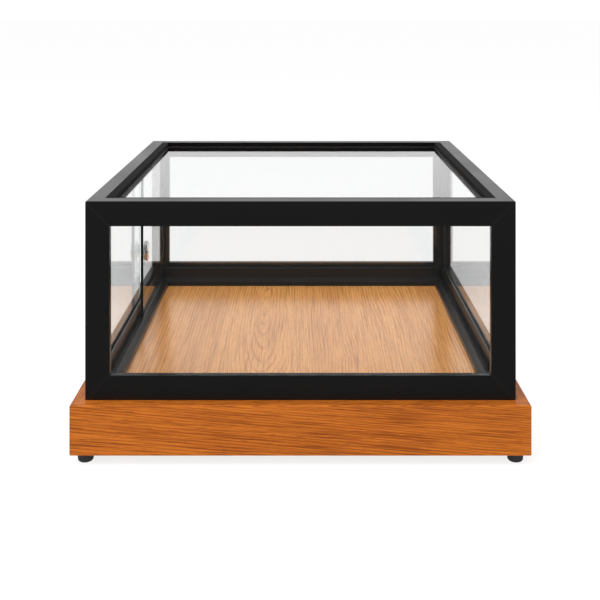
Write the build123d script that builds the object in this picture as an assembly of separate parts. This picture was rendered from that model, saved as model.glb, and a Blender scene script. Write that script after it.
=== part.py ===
from build123d import *
import os

# Countertop display case: a glass showcase in a black aluminium frame on a wooden plinth.
# Millimetres. Origin at the middle of the footprint, under the feet. The front faces -Y, up is +Z.

# Overall sizes
case_width = 520.0
case_depth = 520.0
case_height = 240.0
plinth_overhang = 15.0
plinth_height = 60.0

# Frame extrusions, measured inwards from the outer faces of a rail or a post
face = 30.0
leg = 8.5
wall = 1.6
channel = 6.0
divider = 2.5
lip = 2.0
divider_drop = 2.0
edge_round = 1.6
slot_depth = 12.0
sill_leg_depth = 24.0
sill_leg_height = 24.0
sill_foot = 7.0
sill_foot_height = 8.0
sill_foot_edge = 2.0
side_lip_height = 10.0
track_floor = 4.0
track_roof = 14.0
track_lip_drop = 24.0
top_leg_drop = 20.0
top_shelf = 2.5
post_rebate = 22.0
post_leg_width = 23.0

# Corner keys inside the mitres
key_thickness = 4.5
key_breadth = 16.0
key_reach = 46.0
key_clearance = 0.4

# Fixed glass and its seals
glass = 4.0
glass_gap = 1.0
seal_set_back = 0.5
top_pane_drop = 6.5
top_slot_depth = 7.0

# Sliding doors in the left side
door_meeting = 30.0
door_overlap = 20.0
door_drop = 20.0
running_gap = 0.3
glide_strip = 1.0
shoe_sole = 1.2
shoe_side = 0.6
shoe_wrap = 3.0
shoe_length = 36.0
shoe_inset = 12.0
bumper_thickness = 2.0
bumper_height = 24.0
bumper_inset = 52.0

# Round cup pulls in the doors
pull_diameter = 30.0
pull_body_diameter = 23.0
pull_hole_clearance = 0.25
pull_flange = 1.4
pull_wall = 0.9
pull_height = 100.0
pull_round = 0.6
rear_pull_setback = 26.5
front_pull_setback = 34.0
rear_pull_proud = 5.0
front_pull_proud = 0.8
ring_clearance = 0.1
washer = 0.5

# Wooden plinth
plinth_board = 30.0
deck_thickness = 12.0
deck_recess = 5.0
deck_clearance = 0.2
rim_width = 7.0
spigot_clearance = 0.3
plinth_ease = 1.0
glue_block_leg = 34.0
glue_block_drop = 6.0

# Rubber feet, stuck on
foot_diameter = 20.0
foot_taper = 0.8
foot_height = 12.0
foot_inset = 16.0
foot_round = 3.0
foot_dimple = 10.0
foot_dimple_depth = 1.2
pad_thickness = 0.8
pad_set_back = 1.0

# Screws that hold the frame down on the plinth
screw_shank = 4.0
screw_head = 8.0
screw_head_height = 3.0
screw_counterbore = 26.0
screw_clearance = 0.25
screw_spread = 320.0
screw_grip = 5.0
socket_across = 3.0
socket_depth = 1.6

# Places worked out from the sizes above
case_floor = foot_height + plinth_height
case_top = case_floor + case_height
outer_track = leg + channel / 2
divider_start = leg + channel
inner_wall = divider_start + divider
inner_track = inner_wall + channel / 2
lip_start = inner_wall + channel
lip_end = lip_start + lip
sill_toe = sill_leg_depth + sill_foot
spigot_start = rim_width + spigot_clearance
spigot_drop = deck_recess - deck_clearance
slot_floor = face - slot_depth
slot_roof = top_pane_drop + channel
door_stop = post_rebate + bumper_thickness + running_gap
strip_top = case_floor + track_floor + glide_strip
door_bottom = strip_top + running_gap + shoe_sole
door_top = case_top - door_drop
screw_line = leg / 2

# Each side: its turn about the vertical, the length of its rails, and the distance to the opposite side
SIDES = {
    "front": (0, case_width, case_depth),
    "right": (90, case_depth, case_width),
    "back": (180, case_width, case_depth),
    "left": (-90, case_depth, case_width),
}
CORNERS = {
    "front_left": (-1, -1),
    "front_right": (1, -1),
    "back_left": (-1, 1),
    "back_right": (1, 1),
}


def block(x, y, z):
    """A box between three pairs of limits."""
    size = (x[1] - x[0], y[1] - y[0], z[1] - z[0])
    centre = ((x[0] + x[1]) / 2, (y[0] + y[1]) / 2, (z[0] + z[1]) / 2)
    return Pos(*centre) * Box(*size)


def rectangle(low, high):
    """The four corners of a rectangle from its low and its high corner."""
    return [low, (high[0], low[1]), high, (low[0], high[1])]


def section(outline, hollows):
    """The section of an extrusion, with its outer arris rounded and its hollow chambers open."""
    drawn = make_face(Polyline(*outline, close=True))
    arris = drawn.vertices().sort_by_distance((0, 0, 0))[0]
    drawn = fillet(arris, edge_round)
    for hollow in hollows:
        drawn -= make_face(Polyline(*hollow, close=True))
    return drawn


def mitred_bar(drawn, length, reach):
    """A bar along X with its outer face at y = 0, cut at 45 degrees in plan at both ends."""
    half = length / 2
    plan = make_face(Polyline((-half, 0), (half, 0), (half - reach, reach), (reach - half, reach), close=True))
    return extrude(Plane.YZ * drawn, half, both=True) & extrude(plan, 2 * reach, both=True)


def mitred_rail(drawn, length):
    """A mitred bar with its outer edge at z = 0, cut once more where the posts meet it."""
    half = length / 2
    reach = 2 * face
    elevation = make_face(Polyline(
        (-half, -reach), (half, -reach), (half, 0), (half - reach, reach), (reach - half, reach), (-half, 0),
        close=True))
    return mitred_bar(drawn, length, reach) & extrude(Plane.XZ * elevation, 2 * reach, both=True)


def to_side(piece, side, height=0.0):
    """Carries a piece made for the front, with its outer face at y = 0, to its own side."""
    turn, _, across = SIDES[side]
    return Rot(0, 0, turn) * Pos(0, -across / 2, height) * piece


def to_corner(piece, corner, half_width=case_width / 2, half_depth=case_depth / 2):
    """Carries a piece drawn in from the front left corner to another corner."""
    along_x, along_y = CORNERS[corner]
    piece = Pos(-half_width, -half_depth, 0) * piece
    if along_x > 0:
        piece = piece.mirror(Plane.YZ)
    if along_y > 0:
        piece = piece.mirror(Plane.XZ)
    return piece


# Sections of the extrusions

def leg_chamber():
    """The chamber in the outer leg of every rail, which takes the corner keys."""
    return rectangle((wall, wall), (leg - wall, face - wall))


def sill_section():
    """Front and back bottom rails: a glass slot, a toe over the deck and a spigot inside the plinth."""
    outline = [
        (0, 0), (0, face), (leg, face), (leg, slot_floor), (divider_start, slot_floor),
        (divider_start, sill_leg_height), (sill_leg_depth, sill_leg_height), (sill_leg_depth, sill_foot_height),
        (sill_toe, sill_foot_edge), (sill_toe, -spigot_drop), (spigot_start, -spigot_drop), (spigot_start, 0),
    ]
    chamber = [
        (leg, wall - spigot_drop), (sill_leg_depth - wall, wall - spigot_drop),
        (sill_leg_depth - wall, sill_leg_height - wall), (divider_start + wall, sill_leg_height - wall),
        (divider_start + wall, slot_floor - wall), (leg, slot_floor - wall),
    ]
    return section(outline, [leg_chamber(), chamber])


def side_sill_section():
    """Side bottom rails: two door tracks, a low inner lip, the same toe and spigot."""
    outline = [
        (0, 0), (0, face), (leg, face), (leg, track_floor), (divider_start, track_floor),
        (divider_start, face - divider_drop), (inner_wall, face - divider_drop), (inner_wall, track_floor),
        (lip_start, track_floor), (lip_start, side_lip_height), (lip_end, side_lip_height),
        (sill_toe, sill_foot_edge), (sill_toe, -spigot_drop), (spigot_start, -spigot_drop), (spigot_start, 0),
    ]
    chamber = rectangle((leg, wall - spigot_drop), (lip_start, track_floor - wall))
    return section(outline, [leg_chamber(), chamber])


def top_section():
    """Front and back top rails: a glass slot below and the top pane's slot in the inner side."""
    slot_start = sill_leg_depth - top_slot_depth
    outline = [
        (0, 0), (sill_leg_depth, 0), (sill_leg_depth, top_pane_drop), (slot_start, top_pane_drop),
        (slot_start, slot_roof), (sill_leg_depth, slot_roof), (sill_leg_depth, top_leg_drop),
        (divider_start, top_leg_drop), (divider_start, track_roof), (leg, track_roof), (leg, face), (0, face),
    ]
    chamber = rectangle((leg, wall), (slot_start - wall, track_roof - wall))
    return section(outline, [leg_chamber(), chamber])


def side_top_section():
    """Side top rails: two deep door tracks below and the top pane's slot in the inner side."""
    slot_start = sill_toe - top_slot_depth
    shelf = slot_roof + top_shelf
    outline = [
        (0, 0), (sill_toe, 0), (sill_toe, top_pane_drop), (slot_start, top_pane_drop),
        (slot_start, slot_roof), (sill_toe, slot_roof), (sill_toe, shelf), (lip_end, shelf),
        (lip_end, track_lip_drop), (lip_start, track_lip_drop), (lip_start, track_roof),
        (inner_wall, track_roof), (inner_wall, face - divider_drop), (divider_start, face - divider_drop),
        (divider_start, track_roof), (leg, track_roof), (leg, face), (0, face),
    ]
    chamber = rectangle((leg, wall), (slot_start - wall, track_roof - wall))
    return section(outline, [leg_chamber(), chamber])


def post_section():
    """Corner posts: a glass slot behind the front leg, a door channel and a rebate by the side leg."""
    outline = [
        (0, 0), (face, 0), (face, leg), (slot_floor, leg), (slot_floor, divider_start),
        (post_leg_width, divider_start), (post_leg_width, post_rebate), (inner_wall, post_rebate),
        (inner_wall, face - divider_drop), (divider_start, face - divider_drop), (divider_start, post_rebate),
        (leg, post_rebate), (leg, face), (0, face),
    ]
    legs = [
        (wall, wall), (face - wall, wall), (face - wall, leg - wall), (leg - wall, leg - wall),
        (leg - wall, face - wall), (wall, face - wall),
    ]
    core = [
        (leg, leg), (slot_floor - wall, leg), (slot_floor - wall, divider_start + wall),
        (post_leg_width - wall, divider_start + wall), (post_leg_width - wall, post_rebate - wall),
        (leg, post_rebate - wall),
    ]
    return section(outline, [legs, core])


# Frame

def corner_post(corner):
    """A post with a double mitre at each end, where it meets two rails."""
    reach = 2 * face
    taper = make_face(Polyline((0, 0), (0, case_height), (reach, case_height - reach), (reach, reach), close=True))
    bar = extrude(post_section(), case_height)
    bar &= extrude(Plane.XZ * taper, reach, both=True)
    bar &= extrude(Plane.YZ * taper, reach, both=True)
    return to_corner(Pos(0, 0, case_floor) * bar, corner)


def bottom_rail(side):
    """A bottom rail, drilled from below for the screws that come up through the plinth."""
    drawn = sill_section() if side in ("front", "back") else side_sill_section()
    rail = mitred_rail(drawn, SIDES[side][1])
    for x in screw_places():
        rail -= Pos(x, screw_line, 0) * Cylinder(screw_shank / 2 + screw_clearance, 2 * wall)
    return to_side(rail, side, case_floor)


def top_rail(side):
    """A top rail, drawn upright and turned over."""
    drawn = top_section() if side in ("front", "back") else side_top_section()
    rail = mitred_rail(drawn, SIDES[side][1]).mirror(Plane.XY)
    return to_side(rail, side, case_top)


def corner_key(corner, top):
    """Three flat arms that lock two rails and a post together inside the mitre."""
    start = wall + key_clearance
    thin = (start, start + key_thickness)
    broad = (start, start + key_breadth)
    arm = (start, key_reach)
    key = block(arm, thin, broad) + block(thin, arm, broad) + block(broad, thin, arm)
    if top:
        key = key.mirror(Plane.XY)
    return to_corner(Pos(0, 0, case_top if top else case_floor) * key, corner)


# Fixed glass

def upright_pane(side):
    """A fixed upright pane in the outer track or slot, and the limits of the space that its seal fills."""
    length = SIDES[side][1]
    end = post_rebate if side == "right" else slot_floor
    foot = track_floor if side == "right" else slot_floor
    space = (end - length / 2, length / 2 - end), (leg, leg + channel), (case_floor + foot, case_top - track_roof)
    pane = block(*(shrink(limits, glass_gap) for limits in space))
    return pane, space


def shrink(limits, gap):
    """Limits moved in by a gap at both ends."""
    return limits[0] + gap, limits[1] - gap


def upright_seal(side):
    """The U-shaped seal round an upright pane, set back a little in its slots."""
    pane, space = upright_pane(side)
    length = SIDES[side][1]
    if side == "right":
        sight = (face, face - divider_drop, face - divider_drop)
    else:
        sight = (post_leg_width, sill_leg_height, top_leg_drop)
    ends, foot, head = (value - seal_set_back for value in sight)
    opening = block((ends - length / 2, length / 2 - ends), (0, face), (case_floor + foot, case_top - head))
    return to_side(block(*space) - pane - opening, side)


def top_pane_space():
    """The space between the floors of the four slots that hold the top pane."""
    x = case_width / 2 - sill_toe + top_slot_depth
    y = case_depth / 2 - sill_leg_depth + top_slot_depth
    return (-x, x), (-y, y), (case_top - slot_roof, case_top - top_pane_drop)


def top_pane():
    """The top pane, a gap inside its slots."""
    return block(*(shrink(limits, glass_gap) for limits in top_pane_space()))


def top_seal():
    """The U-shaped seal round the top pane."""
    x = case_width / 2 - sill_toe - seal_set_back
    y = case_depth / 2 - sill_leg_depth - seal_set_back
    opening = block((-x, x), (-y, y), (case_floor, case_top))
    return block(*top_pane_space()) - top_pane() - opening


# Sliding doors, drawn with x across the left side and y along it from front to back

DOORS = {
    "front": (outer_track, door_stop - case_depth / 2, door_meeting + door_overlap),
    "rear": (inner_track, door_meeting, case_depth / 2 - door_stop),
}
PULLS = {
    "front": DOORS["front"][1] + front_pull_setback,
    "rear": DOORS["rear"][1] + rear_pull_setback,
}


def across_left(inwards):
    """The X of a distance in from the left side's outer face."""
    return inwards - case_width / 2


def door_pane(door):
    """A sliding pane with polished edges and a round hole for its pull."""
    track, low, high = DOORS[door]
    x = across_left(track)
    pane = block((x - glass / 2, x + glass / 2), (low, high), (door_bottom, door_top))
    hole = Cylinder(pull_body_diameter / 2 + pull_hole_clearance, 2 * glass, rotation=(0, 90, 0))
    return pane - Pos(x, PULLS[door], case_floor + pull_height) * hole


def door_shoes(door):
    """Two nylon shoes that carry a door's lower edge along its glide strip."""
    track, low, high = DOORS[door]
    x = across_left(track)
    half = glass / 2 + shoe_side
    shoes = []
    for start in (low + shoe_inset, high - shoe_inset - shoe_length):
        length = (start, start + shoe_length)
        outer = block((x - half, x + half), length, (door_bottom - shoe_sole, door_bottom + shoe_wrap))
        slot = block((x - glass / 2, x + glass / 2), length, (door_bottom, door_bottom + shoe_wrap))
        shoes.append(outer - slot)
    return Compound(children=shoes)


def glide(track):
    """A glide strip on the floor of a door track, from post to post."""
    x = across_left(track)
    end = case_depth / 2 - door_stop
    floor = case_floor + track_floor
    return block((x - channel / 2, x + channel / 2), (-end, end), (floor, floor + glide_strip))


def bumpers():
    """Rubber stops in the channels of the two left posts, which end each door's travel."""
    stops = []
    near = (post_rebate - case_depth / 2, post_rebate + bumper_thickness - case_depth / 2)
    for track in (outer_track, inner_track):
        x = across_left(track)
        for y in (near, (-near[1], -near[0])):
            for z in (case_floor + bumper_inset, case_top - bumper_inset - bumper_height):
                stops.append(block((x - channel / 2, x + channel / 2), y, (z, z + bumper_height)))
    return Compound(children=stops)


def turned(profile, door, inwards):
    """A piece turned about a pull's axis from points (radius, distance in from a face of the pane)."""
    drawn = make_face(Polyline(*profile, close=True))
    piece = revolve(drawn, Axis.Y)
    return Pos(across_left(inwards), PULLS[door], case_floor + pull_height) * Rot(0, 0, -90) * piece


def pull_cup(door, proud):
    """A finger cup with a thin outer flange, set through the pane and closed at its inner end."""
    outer_face = DOORS[door][0] - glass / 2
    rim = pull_diameter / 2
    body = pull_body_diameter / 2
    floor = glass + proud
    profile = [
        (0, floor - pull_wall), (body - 2 * pull_wall, floor - pull_wall), (body - pull_wall, floor - 2 * pull_wall),
        (body - pull_wall, -pull_flange + pull_round), (body - pull_wall + pull_round, -pull_flange),
        (rim - pull_round, -pull_flange), (rim, pull_round - pull_flange), (rim, 0), (body, 0),
        (body, floor - pull_wall), (body - pull_wall, floor), (0, floor),
    ]
    return turned(profile, door, outer_face)


def pull_ring():
    """The ring nut that clamps the rear cup from inside the case."""
    inner_face = DOORS["rear"][0] + glass / 2
    bore = pull_body_diameter / 2 + ring_clearance
    rim = pull_diameter / 2
    top = rear_pull_proud - pull_wall
    profile = [
        (bore, washer), (rim, washer), (rim, top - pull_wall), (rim - pull_wall, top), (bore, top),
    ]
    return turned(profile, "rear", inner_face)


def pull_washer():
    """The soft washer between the ring nut and the glass."""
    inner_face = DOORS["rear"][0] + glass / 2
    bore = pull_body_diameter / 2 + ring_clearance
    rim = pull_diameter / 2 - washer
    return turned(rectangle((bore, 0), (rim, washer)), "rear", inner_face)


# Plinth

def screw_places():
    """Where the frame screws stand along each side."""
    return -screw_spread / 2, screw_spread / 2


def plinth_side(side):
    """A mitred plinth board, rebated on its inner top edge for the deck and drilled for the frame screws."""
    ledge = plinth_height - deck_recess - deck_thickness
    rim = plinth_overhang + rim_width
    outline = [
        (0, 0), (plinth_board, 0), (plinth_board, ledge), (rim, ledge), (rim, plinth_height), (0, plinth_height),
    ]
    drawn = make_face(Polyline(*outline, close=True))
    arrises = drawn.vertices().group_by(Axis.X)[0]
    drawn = chamfer(arrises, plinth_ease)
    board = mitred_bar(drawn, SIDES[side][1] + 2 * plinth_overhang, 2 * plinth_height)
    for x in screw_places():
        spot = Pos(x, plinth_overhang + screw_line, 0)
        board -= spot * Cylinder(screw_shank / 2 + screw_clearance, 2 * plinth_height)
        board -= spot * Cylinder(screw_head / 2 + screw_clearance, 2 * screw_counterbore)
    return to_side(Pos(0, -plinth_overhang, foot_height) * board, side)


def deck():
    """The deck board, which lies in the rebate round the inside of the plinth."""
    x = case_width / 2 - rim_width
    y = case_depth / 2 - rim_width
    top = case_floor - deck_recess
    return block((-x, x), (-y, y), (top - deck_thickness, top))


def glue_block(corner):
    """A three-cornered block glued in a corner under the deck."""
    top = case_floor - deck_recess - deck_thickness
    drawn = make_face(Polyline((0, 0), (glue_block_leg, 0), (0, glue_block_leg), close=True))
    piece = Pos(0, 0, foot_height + glue_block_drop) * extrude(drawn, top - foot_height - glue_block_drop)
    inset = plinth_board - plinth_overhang
    return to_corner(piece, corner, case_width / 2 - inset, case_depth / 2 - inset)


def at_foot(piece, corner):
    """Carries a piece on a foot's axis to a corner of the plinth."""
    along_x, along_y = CORNERS[corner]
    x = case_width / 2 + plinth_overhang - foot_inset
    y = case_depth / 2 + plinth_overhang - foot_inset
    return Pos(along_x * x, along_y * y, 0) * piece


def foot(corner):
    """A rubber bumper foot, a little narrower below, with a round lower edge and a dimple underneath."""
    radius = foot_diameter / 2
    top = foot_height - pad_thickness
    profile = Polyline((0, 0), (radius - foot_taper, 0), (radius, top), (0, top), close=True)
    body = revolve(Plane.XZ * make_face(profile), Axis.Z)
    body = fillet(body.edges().group_by(Axis.Z)[0], foot_round)
    body -= Cylinder(foot_dimple / 2, 2 * foot_dimple_depth)
    return at_foot(body, corner)


def foot_pads():
    """The adhesive pads that hold the feet on."""
    pad = Pos(0, 0, foot_height - pad_thickness / 2) * Cylinder(foot_diameter / 2 - pad_set_back, pad_thickness)
    return Compound(children=[at_foot(pad, corner) for corner in CORNERS])


def frame_screws():
    """Long socket screws up through the plinth boards into the bottom rails."""
    seat = foot_height + screw_counterbore
    length = case_floor + screw_grip - seat
    screw = Pos(0, 0, length / 2) * Cylinder(screw_shank / 2, length)
    head = Pos(0, 0, -screw_head_height / 2) * Cylinder(screw_head / 2, screw_head_height)
    socket = extrude(RegularPolygon(socket_across / 2, 6, major_radius=False), 2 * socket_depth, both=True)
    screw += head - Pos(0, 0, -screw_head_height - socket_depth) * socket
    screws = []
    for side in SIDES:
        for x in screw_places():
            screws.append(to_side(Pos(x, screw_line, seat) * screw, side))
    return Compound(children=screws)


def pieces():
    """Every piece of the case by its name."""
    made = {}
    for side in SIDES:
        made[f"plinth_{side}"] = plinth_side(side)
        made[f"bottom_rail_{side}"] = bottom_rail(side)
        made[f"top_rail_{side}"] = top_rail(side)
    for corner in CORNERS:
        made[f"post_{corner}"] = corner_post(corner)
        made[f"corner_key_bottom_{corner}"] = corner_key(corner, False)
        made[f"corner_key_top_{corner}"] = corner_key(corner, True)
        made[f"glue_block_{corner}"] = glue_block(corner)
        made[f"foot_{corner}"] = foot(corner)
    for side in ("front", "back", "right"):
        made[f"pane_{side}"] = to_side(upright_pane(side)[0], side)
        made[f"seal_{side}"] = upright_seal(side)
    for door, (track, _, _) in DOORS.items():
        made[f"{door}_door_pane"] = door_pane(door)
        made[f"{door}_door_shoes"] = door_shoes(door)
        made[f"{door}_door_glide"] = glide(track)
    made["pane_top"] = top_pane()
    made["seal_top"] = top_seal()
    made["front_pull_cup"] = pull_cup("front", front_pull_proud)
    made["rear_pull_cup"] = pull_cup("rear", rear_pull_proud)
    made["rear_pull_ring"] = pull_ring()
    made["rear_pull_washer"] = pull_washer()
    made["door_bumpers"] = bumpers()
    made["deck_board"] = deck()
    made["foot_pads"] = foot_pads()
    made["frame_screws"] = frame_screws()
    return made


os.makedirs("parts", exist_ok=True)
for name, piece in pieces().items():
    export_step(piece, f"parts/{name}.step")
    print(name, "volume", round(piece.volume))
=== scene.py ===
import math

import bmesh
import bpy
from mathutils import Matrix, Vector


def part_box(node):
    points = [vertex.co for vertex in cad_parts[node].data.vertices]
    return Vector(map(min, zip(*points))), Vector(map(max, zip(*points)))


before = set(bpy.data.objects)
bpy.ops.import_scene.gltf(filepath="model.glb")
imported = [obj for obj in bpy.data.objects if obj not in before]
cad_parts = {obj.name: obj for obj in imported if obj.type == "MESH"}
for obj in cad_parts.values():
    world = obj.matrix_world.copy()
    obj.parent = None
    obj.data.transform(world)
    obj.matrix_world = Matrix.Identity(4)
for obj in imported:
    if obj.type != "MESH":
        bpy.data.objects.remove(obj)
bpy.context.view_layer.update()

# Countertop display case: satin black frame, clear glass, sliding doors and a varnished wooden plinth.

# Sizes of the case, in metres, read from the frame
MM = 0.001
case_low, case_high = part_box("post_front_left")[0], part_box("post_back_right")[1]
half_width = case_high.x
half_depth = case_high.y
case_floor = case_low.z
case_top = case_high.z

# Camera: level, in front of the case, with the frame shifted down as in the photograph
picture = 600
focal_pixels = 951.2
camera_distance = 1.147
camera_offset = 3.4 * MM
camera_rise = 0.4737
vanishing_pixel = (303.3, 7.2)
sensor = 36.0

# Light levels, where 1 renders a colour about as it is written
white = 1.0
ambient_level = 0.74
dark_front = 0.11
floor_colour = 0.95
floor_glow = 0.75
floor_white = 1.08
key_power = 88.0
key_size = 3.0
key_place = Vector((-0.9, -1.3, 2.7))
floor_reach = 40.0

# Where mirrored light turns from the dark front to white: in the sky, as a direction, and on the floor
sky_turn = (-0.45, 0.10)
floor_turn = (-1.5 * half_depth, 0.5 * half_depth)

# Mitre hairlines, and the wall of the frame round the top glass
hairline_width = 0.22 * MM
hairline_reach = 2 * MM
wall_inset = 20 * MM
wall_depth = 7 * MM

# Noise in wood, in waves per metre along the grain and across it
grain_waves = {
    "wander": (2.2, 9.0),
    "ripple": (14.0, 60.0),
    "breaks": (6.0, 90.0),
    "fibre": (22.0, 700.0),
    "band": (5.0, 110.0),
    "broad": (2.0, 14.0),
    "streak": (10.0, 620.0),
    "pore": (58.0, 1150.0),
}
ripple_size = 1.4 * MM

# Frame coat: its darker and lighter spots, the wall round the top glass and the mitre lines
coat_dark = (0.0058, 0.0058, 0.0060, 1)
coat_light = (0.0086, 0.0085, 0.0084, 1)
wall_black = (0.001, 0.001, 0.001, 1)
mitre_grey = (0.028, 0.027, 0.026, 1)

# Glass: its faces, its polished edges, and the tint of the light that it lets in
glass_face = (0.985, 0.992, 0.990, 1)
glass_edge = (0.10, 0.27, 0.22, 1)
glass_light = (0.95, 0.965, 0.96, 1)

# Pale wood, dark wood and pores
plinth_colours = ((0.590, 0.173, 0.021), (0.300, 0.072, 0.010), (0.150, 0.030, 0.006))
deck_colours = ((0.920, 0.425, 0.130), (0.600, 0.225, 0.058), (0.340, 0.115, 0.030))
softwood_colours = ((0.62, 0.45, 0.28), (0.50, 0.33, 0.18), (0.40, 0.24, 0.12))


def opaque(colour):
    """A colour with full alpha."""
    return (*colour, 1)


class Graph:
    """Adds nodes to one tree and links them."""

    def __init__(self, tree):
        self.tree = tree
        tree.nodes.clear()

    def add(self, kind, inputs=(), **settings):
        """A node with its settings made and its inputs fed."""
        node = self.tree.nodes.new(kind)
        for name, value in settings.items():
            setattr(node, name, value)
        for name, value in dict(inputs).items():
            self.feed(node.inputs[name], value)
        return node

    def feed(self, socket, value):
        """Links a socket to an output, or sets it to a plain value."""
        if isinstance(value, bpy.types.NodeSocket):
            self.tree.links.new(value, socket)
        else:
            socket.default_value = value

    def math(self, operation, *values, clamp=False):
        """One step of arithmetic on one or two values."""
        node = self.add("ShaderNodeMath", enumerate(values), operation=operation, use_clamp=clamp)
        return node.outputs[0]

    def smooth(self, value, low, high, to_low=0.0, to_high=1.0):
        """A smooth step from one value to another."""
        inputs = {"Value": value, "From Min": low, "From Max": high, "To Min": to_low, "To Max": to_high}
        return self.add("ShaderNodeMapRange", inputs, interpolation_type="SMOOTHSTEP").outputs[0]

    def noise(self, vector, waves, detail=2.0, roughness=0.5):
        """Noise drawn out along X, with its waves per metre along X and across it."""
        along, across = waves
        stretch = {0: vector, 1: (along, across, across)}
        stretched = self.add("ShaderNodeVectorMath", stretch, operation="MULTIPLY")
        inputs = {"Vector": stretched.outputs[0], "Scale": 1.0, "Detail": detail, "Roughness": roughness}
        return self.add("ShaderNodeTexNoise", inputs).outputs["Fac"]

    def blend(self, factor, first, second):
        """A mix of two colours."""
        return self.add("ShaderNodeMix", {0: factor, 6: first, 7: second}, data_type="RGBA").outputs[2]

    def split(self, vector):
        """The three numbers of a vector."""
        return self.add("ShaderNodeSeparateXYZ", {"Vector": vector}).outputs

    def place(self, turn=(0, 0, 0), shift=(0, 0, 0)):
        """Object coordinates, turned and shifted."""
        source = self.add("ShaderNodeTexCoord").outputs["Object"]
        mapping = self.add("ShaderNodeMapping", {"Vector": source, "Rotation": turn, "Location": shift})
        return mapping.outputs["Vector"]

    def group(self, tree, **inputs):
        """The outputs of a node group, its inputs fed by name."""
        node = self.add("ShaderNodeGroup", node_tree=tree)
        for name, value in inputs.items():
            self.feed(node.inputs[name.replace("_", " ")], value)
        return node.outputs


def new_group(name, inputs, outputs):
    """An empty node group with named sockets, and its graph."""
    tree = bpy.data.node_groups.new(name, "ShaderNodeTree")
    for socket, kind, value in inputs:
        made = tree.interface.new_socket(socket, in_out="INPUT", socket_type=f"NodeSocket{kind}")
        if value is not None:
            made.default_value = value
    for socket, kind in outputs:
        tree.interface.new_socket(socket, in_out="OUTPUT", socket_type=f"NodeSocket{kind}")
    graph = Graph(tree)
    return tree, graph, graph.add("NodeGroupInput").outputs, graph.add("NodeGroupOutput")


def wood_group():
    """Plain-sawn grain along X: growth rings that open into cathedrals, fibres and short dark pores."""
    inputs = [
        ("Vector", "Vector", None),
        ("Pale", "Color", (0.6, 0.3, 0.1, 1)),
        ("Dark", "Color", (0.4, 0.15, 0.05, 1)),
        ("Pore", "Color", (0.2, 0.06, 0.02, 1)),
        ("Ring Width", "Float", 0.008),
        ("Slope", "Float", 0.03),
        ("Heart Depth", "Float", 0.05),
        ("Streaks", "Float", 0.6),
        ("Drift", "Float", 0.030),
        ("Rings", "Float", 0.75),
    ]
    outputs = [("Color", "Color"), ("Fibre", "Float"), ("Height", "Float")]
    tree, g, source, out = new_group("wood_grain", inputs, outputs)
    vector = source["Vector"]
    along, across, down = g.split(vector)

    # Distance from the heart of the log, with a slow drift and a small ripple
    wander = g.math("SUBTRACT", g.noise(vector, grain_waves["wander"]), 0.5)
    wander = g.math("MULTIPLY", wander, source["Drift"])
    ripple = g.math("SUBTRACT", g.noise(vector, grain_waves["ripple"], 1.0), 0.5)
    drift = g.math("ADD", wander, g.math("MULTIPLY", ripple, ripple_size))
    side = g.math("ADD", across, drift)
    depth = g.math("ADD", down, source["Heart Depth"])
    depth = g.math("ADD", depth, g.math("MULTIPLY", along, source["Slope"]))
    reach = g.math("SQRT", g.math("ADD", g.math("MULTIPLY", side, side), g.math("MULTIPLY", depth, depth)))
    ring = g.math("FRACT", g.math("DIVIDE", g.math("ADD", reach, drift), source["Ring Width"]))

    # Dark late wood, broken here and there, and the early wood that holds the pores
    late = g.math("MULTIPLY", g.smooth(ring, 0.58, 0.92), g.smooth(ring, 0.93, 1.0, 1.0, 0.0))
    unbroken = g.smooth(g.noise(vector, grain_waves["breaks"]), 0.36, 0.60, 0.25)
    late = g.math("MULTIPLY", late, unbroken)
    early = g.math("MULTIPLY", g.smooth(ring, 0.0, 0.10), g.smooth(ring, 0.10, 0.42, 1.0, 0.0))

    # How dark the wood is: rings, fibres, bands and broad clouds
    fibre = g.noise(vector, grain_waves["fibre"], 3.0, 0.6)
    band = g.noise(vector, grain_waves["band"], 2.0, 0.6)
    broad = g.noise(vector, grain_waves["broad"], 1.0)
    shade = g.math("MULTIPLY", late, source["Rings"])
    shade = g.math("ADD", shade, g.math("MULTIPLY", g.smooth(fibre, 0.35, 0.70), 0.40))
    shade = g.math("ADD", shade, g.math("MULTIPLY", g.smooth(band, 0.42, 0.66), 0.20))
    shade = g.math("ADD", shade, g.math("MULTIPLY", g.smooth(broad, 0.40, 0.75), 0.25), clamp=True)

    # Pores, most of them in the early wood, and longer streaks
    pores = g.smooth(g.noise(vector, grain_waves["pore"], 1.0), 0.56, 0.70)
    pores = g.math("MULTIPLY", pores, g.math("ADD", g.math("MULTIPLY", early, 0.75), 0.25))
    streaks = g.smooth(g.noise(vector, grain_waves["streak"]), 0.55, 0.60)
    streaks = g.math("MULTIPLY", streaks, source["Streaks"])
    pores = g.math("MAXIMUM", g.math("MULTIPLY", pores, 0.8), streaks)

    colour = g.blend(shade, source["Pale"], source["Dark"])
    g.feed(out.inputs["Color"], g.blend(pores, colour, source["Pore"]))
    g.feed(out.inputs["Fibre"], fibre)
    g.feed(out.inputs["Height"], g.math("SUBTRACT", g.math("MULTIPLY", fibre, 0.25), pores))
    return tree


def speckle_group():
    """Fine unevenness of a coated, moulded or cast skin: a value round 0.5 and a height."""
    inputs = [("Vector", "Vector", None), ("Grain", "Float", 900.0), ("Cloud", "Float", 25.0)]
    tree, g, source, out = new_group("skin_speckle", inputs, [("Value", "Float"), ("Height", "Float")])
    noises = []
    for scale, detail in ((source["Grain"], 2.0), (source["Cloud"], 3.0)):
        noise = g.add("ShaderNodeTexNoise", {"Vector": source["Vector"], "Scale": scale, "Detail": detail})
        noises.append(noise.outputs["Fac"])
    fine, cloud = noises
    value = g.math("ADD", g.math("MULTIPLY", fine, 0.35), g.math("MULTIPLY", cloud, 0.65))
    g.feed(out.inputs["Value"], value)
    g.feed(out.inputs["Height"], fine)
    return tree


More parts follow.
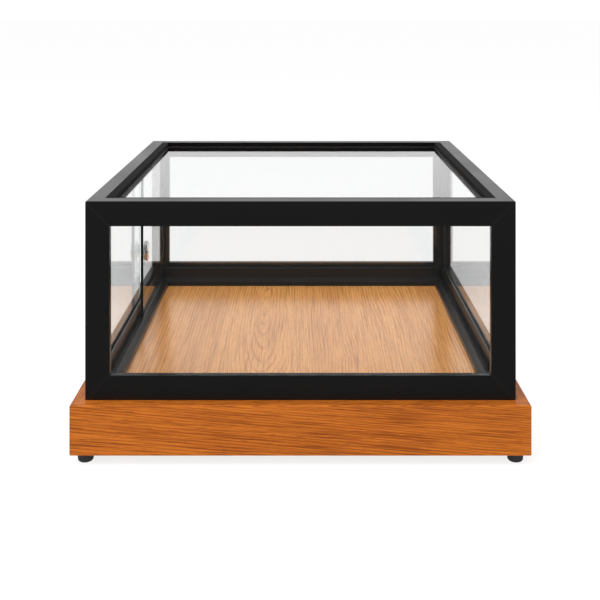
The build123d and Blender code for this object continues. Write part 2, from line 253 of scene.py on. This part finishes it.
def new_material(name):
    """A material with its output and Principled shader, and its graph."""
    material = bpy.data.materials.new(name)
    material.use_nodes = True
    g = Graph(material.node_tree)
    shader = g.add("ShaderNodeBsdfPrincipled")
    g.add("ShaderNodeOutputMaterial", {"Surface": shader.outputs["BSDF"]})
    return material, g, shader


def set_shader(g, shader, **values):
    """Sets or links sockets of a shader by name."""
    for name, value in values.items():
        g.feed(shader.inputs[name.replace("_", " ")], value)


def bump(g, shader, height, distance, strength=1.0):
    """Relief on a shader from a height in units of a distance."""
    node = g.add("ShaderNodeBump", {"Height": height, "Distance": distance, "Strength": strength})
    g.feed(shader.inputs["Normal"], node.outputs["Normal"])


def skin(name, group, colour, roughness, spread, height, grain, tint=0.12, **values):
    """A plain material with a fine uneven skin, such as rubber, nylon, cast or plated metal."""
    material, g, shader = new_material(name)
    value, relief = g.group(group, Vector=g.place(), Grain=grain)
    low = opaque(each * (1 - tint) for each in colour)
    high = opaque(each * (1 + tint) for each in colour)
    set_shader(g, shader, Base_Color=g.blend(value, low, high),
               Roughness=g.smooth(value, 0.3, 0.7, roughness - spread, roughness + spread), **values)
    bump(g, shader, relief, height)
    return material


def mitre_hairline(g, inwards):
    """A mask of thin lines where two faces meet at a corner, from the distances inwards from the faces."""
    hairline = 0.0
    for skip in range(3):
        first, second = (inwards[each] for each in range(3) if each != skip)
        gap = g.math("ABSOLUTE", g.math("SUBTRACT", first, second))
        on_face = g.math("LESS_THAN", inwards[skip], hairline_reach)
        line = g.math("MULTIPLY", g.math("LESS_THAN", gap, hairline_width), on_face)
        hairline = g.math("MAXIMUM", hairline, line)
    return hairline


def frame_coat(group):
    """Satin black powder coat, with the hairline of each mitre and a matt wall round the top glass."""
    material, g, shader = new_material("satin_black_coat")
    place = g.place()
    value, relief = g.group(group, Vector=place, Grain=1400.0, Cloud=9.0)
    x, y, z = g.split(place)
    inwards = (
        g.math("SUBTRACT", half_width, g.math("ABSOLUTE", x)),
        g.math("SUBTRACT", half_depth, g.math("ABSOLUTE", y)),
        g.math("MINIMUM", g.math("SUBTRACT", z, case_floor), g.math("SUBTRACT", case_top, z)),
    )
    inside = g.math("GREATER_THAN", g.math("MINIMUM", inwards[0], inwards[1]), wall_inset)
    wall = g.math("MULTIPLY", inside, g.math("GREATER_THAN", z, case_top - wall_depth))
    coat = g.blend(value, coat_dark, coat_light)
    coat = g.blend(g.math("MULTIPLY", wall, 0.6), coat, wall_black)
    coat = g.blend(mitre_hairline(g, inwards), coat, mitre_grey)
    satin = g.smooth(value, 0.3, 0.7, 0.27, 0.36)
    set_shader(g, shader, Base_Color=coat, Roughness=g.math("MAXIMUM", satin, g.math("MULTIPLY", wall, 0.95)),
               IOR=1.33)
    bump(g, shader, relief, 0.004 * MM)
    return material


def clear_glass(name, thin_axis, bend):
    """Clear float glass whose narrow polished edges are dark green. thin_axis is across the pane."""
    material, g, shader = new_material(name)
    normal = g.split(g.add("ShaderNodeNewGeometry").outputs["True Normal"])
    edge = g.math("LESS_THAN", g.math("ABSOLUTE", normal[thin_axis]), 0.5)
    set_shader(g, shader, Base_Color=g.blend(edge, glass_face, glass_edge), Roughness=0.0, IOR=bend,
               Transmission_Weight=1.0)

    # Plain see-through for shadows and diffuse light, so that the cabin is lit
    clear = g.add("ShaderNodeBsdfTransparent", {"Color": glass_light})
    path = g.add("ShaderNodeLightPath").outputs
    through = g.math("MAXIMUM", path["Is Shadow Ray"], path["Is Diffuse Ray"])
    mix = g.add("ShaderNodeMixShader", {0: through, 1: shader.outputs["BSDF"], 2: clear.outputs[0]})
    g.feed(material.node_tree.get_output_node("CYCLES").inputs["Surface"], mix.outputs[0])
    return material


def varnished(name, group, turn, shift, colours, ring_width, slope, heart, streaks, drift, rings,
              coat, gloss, bend):
    """Varnished wood with its grain along the X axis of turned coordinates."""
    material, g, shader = new_material(name)
    pale, dark, pore = map(opaque, colours)
    colour, fibre, height = g.group(group, Vector=g.place(turn, shift), Pale=pale, Dark=dark, Pore=pore,
                                    Ring_Width=ring_width, Slope=slope, Heart_Depth=heart, Streaks=streaks,
                                    Drift=drift, Rings=rings)
    set_shader(g, shader, Base_Color=colour, Roughness=g.smooth(fibre, 0.3, 0.7, 0.45, 0.6),
               Specular_IOR_Level=0.0, Coat_Weight=coat, Coat_Roughness=gloss, Coat_IOR=bend)
    bump(g, shader, height, 0.05 * MM, 0.6)
    return material


def raw_wood(group):
    """Unfinished softwood of the glue blocks, grain upright."""
    material, g, shader = new_material("raw_softwood")
    pale, dark, pore = map(opaque, softwood_colours)
    place = g.place(turn=(0, math.pi / 2, 0), shift=(0.3, 0.1, 0.0))
    colour, fibre, height = g.group(group, Vector=place, Pale=pale, Dark=dark, Pore=pore)
    set_shader(g, shader, Base_Color=colour, Roughness=g.smooth(fibre, 0.3, 0.7, 0.7, 0.85))
    bump(g, shader, height, 0.15 * MM)
    return material


def wood_finishes():
    """Plinth boards, deck board and glue blocks, by the start of a node's name."""
    wood = wood_group()
    quarter = math.pi / 2
    dip = 0.06
    plinth = dict(colours=plinth_colours, ring_width=0.0014, heart=0.07, streaks=0.60, drift=0.010,
                  rings=0.90, coat=0.5, gloss=0.18, bend=1.35)
    wide = varnished("plinth_wood_wide", wood, turn=(0, -dip, 0), shift=(0.13, 0.02, 0.0), slope=0.035,
                     **plinth)
    deep = varnished("plinth_wood_deep", wood, turn=(dip, 0, quarter), shift=(0.4, 0.0, 0.0), slope=-0.03,
                     **plinth)
    deck = varnished("deck_wood", wood, turn=(0, 0, quarter), shift=(0.21, 0.055, 0.0), colours=deck_colours,
                     ring_width=0.0046, slope=0.11, heart=-0.080, streaks=0.5, drift=0.022, rings=0.85,
                     coat=1.0, gloss=0.22, bend=1.8)
    return {
        "plinth_front": wide, "plinth_back": wide, "plinth_left": deep, "plinth_right": deep,
        "deck_board": deck, "glue_block": raw_wood(wood),
    }


def glass_finishes():
    """Panes, by the start of a node's name. The sides bend light less, as they are seen at a low angle."""
    side = clear_glass("clear_glass_x", thin_axis=0, bend=1.28)
    upright = clear_glass("clear_glass_y", thin_axis=1, bend=1.50)
    level = clear_glass("clear_glass_z", thin_axis=2, bend=1.50)
    return {
        "pane_front": upright, "pane_back": upright, "pane_top": level,
        "pane_right": side, "front_door_pane": side, "rear_door_pane": side,
    }


def skin_finishes():
    """Frame, rubber, nylon and plain metal pieces, by the start of a node's name."""
    speckle = speckle_group()
    coat = frame_coat(speckle)
    rubber = skin("black_rubber", speckle, (0.020, 0.020, 0.021), roughness=0.62, spread=0.08,
                  height=0.03 * MM, grain=1100.0)
    foot_rubber = skin("foot_rubber", speckle, (0.030, 0.031, 0.034), roughness=0.40, spread=0.06,
                       height=0.02 * MM, grain=900.0)
    nylon = skin("black_nylon", speckle, (0.030, 0.030, 0.030), roughness=0.45, spread=0.05,
                 height=0.01 * MM, grain=1600.0)
    washer = skin("clear_washer", speckle, (0.75, 0.76, 0.76), roughness=0.30, spread=0.05,
                  height=0.01 * MM, grain=900.0, tint=0.05)
    chrome = skin("polished_chrome", speckle, (0.80, 0.79, 0.77), roughness=0.07, spread=0.03,
                  height=0.002 * MM, grain=700.0, tint=0.02, Metallic=1.0)
    zinc = skin("zinc_plate", speckle, (0.52, 0.53, 0.55), roughness=0.35, spread=0.08,
                height=0.01 * MM, grain=800.0, tint=0.10, Metallic=1.0)
    cast = skin("cast_aluminium", speckle, (0.50, 0.50, 0.51), roughness=0.55, spread=0.10,
                height=0.06 * MM, grain=500.0, tint=0.10, Metallic=1.0)
    return {
        "post": coat, "bottom_rail": coat, "top_rail": coat, "corner_key": cast, "frame_screws": zinc,
        "seal": rubber, "door_bumpers": rubber, "foot_pads": rubber, "foot": foot_rubber,
        "front_door_shoes": nylon, "rear_door_shoes": nylon,
        "front_door_glide": nylon, "rear_door_glide": nylon,
        "front_pull": chrome, "rear_pull_cup": chrome, "rear_pull_ring": chrome, "rear_pull_washer": washer,
    }


def finish_nodes():
    """Gives each node the finish whose key its name starts with, and the longest key counts."""
    finishes = wood_finishes() | glass_finishes() | skin_finishes()
    for name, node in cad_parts.items():
        chosen = max((start for start in finishes if name.startswith(start)), key=len)
        node.data.materials.clear()
        node.data.materials.append(finishes[chosen])


def ray_masks(g):
    """Masks of the rays that see a light straight on, through glass, and in a mirror image."""
    path = g.add("ShaderNodeLightPath").outputs
    reflected = g.math("GREATER_THAN", path["Glossy Depth"], 0.5)
    mirrored = g.math("MULTIPLY", path["Is Glossy Ray"], reflected)
    through = g.math("SUBTRACT", path["Is Transmission Ray"], mirrored, clamp=True)
    return path["Is Camera Ray"], through, mirrored


def world_light():
    """White where the camera or glass sees it, dark in front for gloss, and an even level for surfaces."""
    world = bpy.data.worlds.new("studio")
    bpy.context.scene.world = world
    world.use_nodes = True
    g = Graph(world.node_tree)
    straight, through, mirrored = ray_masks(g)
    seen = g.math("ADD", straight, through)
    backwards = g.split(g.add("ShaderNodeTexCoord").outputs["Generated"])[1]
    gloss = g.smooth(backwards, *sky_turn, dark_front, white)
    level = g.math("ADD", g.math("MULTIPLY", mirrored, gloss), g.math("MULTIPLY", seen, white))
    rest = g.math("SUBTRACT", 1.0, g.math("ADD", mirrored, seen))
    level = g.math("ADD", level, g.math("MULTIPLY", rest, ambient_level))
    shine = g.add("ShaderNodeBackground", {"Color": (1, 1, 1, 1), "Strength": level})
    g.add("ShaderNodeOutputWorld", {"Surface": shine.outputs[0]})


def key_light():
    """One broad soft lamp above and in front, which gloss and glass don't show."""
    lamp = bpy.data.lights.new("key", "AREA")
    lamp.size = key_size
    lamp.energy = key_power
    holder = bpy.data.objects.new("key", lamp)
    bpy.context.scene.collection.objects.link(holder)
    holder.location = key_place
    holder.rotation_euler = (-key_place).to_track_quat("-Z", "Y").to_euler()
    holder.visible_glossy = False
    holder.visible_transmission = False


def floor_paint():
    """White that keeps a faint shadow, and in mirror images turns dark towards the front."""
    material = bpy.data.materials.new("studio_floor")
    material.use_nodes = True
    g = Graph(material.node_tree)
    paint = g.add("ShaderNodeBsdfDiffuse", {"Color": opaque([floor_colour] * 3)})
    straight, through, mirrored = ray_masks(g)
    backwards = g.split(g.add("ShaderNodeTexCoord").outputs["Object"])[1]
    level = g.math("MULTIPLY", mirrored, g.smooth(backwards, *floor_turn, dark_front, white))
    level = g.math("ADD", level, g.math("MULTIPLY", through, white))
    level = g.math("ADD", level, g.math("MULTIPLY", straight, floor_white))
    glow = g.add("ShaderNodeEmission", {"Color": (1, 1, 1, 1), "Strength": level})
    share = g.math("MULTIPLY", g.math("ADD", straight, through), floor_glow)
    share = g.math("ADD", mirrored, share)
    mix = g.add("ShaderNodeMixShader", {0: share, 1: paint.outputs[0], 2: glow.outputs[0]})
    g.add("ShaderNodeOutputMaterial", {"Surface": mix.outputs[0]})
    return material


def studio_floor():
    """A wide white floor under the case."""
    mesh = bpy.data.meshes.new("studio_floor")
    grid = bmesh.new()
    bmesh.ops.create_grid(grid, x_segments=1, y_segments=1, size=floor_reach)
    grid.to_mesh(mesh)
    grid.free()
    mesh.materials.append(floor_paint())
    floor = bpy.data.objects.new("studio_floor", mesh)
    bpy.context.scene.collection.objects.link(floor)


def camera():
    """The level camera of the photograph, aimed by shift alone."""
    lens = bpy.data.cameras.new("camera")
    lens.sensor_width = sensor
    lens.lens = focal_pixels / picture * sensor
    lens.shift_x = (picture / 2 - vanishing_pixel[0]) / picture
    lens.shift_y = (vanishing_pixel[1] - picture / 2) / picture
    holder = bpy.data.objects.new("camera", lens)
    bpy.context.scene.collection.objects.link(holder)
    holder.location = (camera_offset, -half_depth - camera_distance, case_floor + camera_rise)
    holder.rotation_euler = (math.pi / 2, 0, 0)
    bpy.context.scene.camera = holder


bpy.context.scene.view_settings.view_transform = "Standard"
finish_nodes()
world_light()
key_light()
studio_floor()
camera()
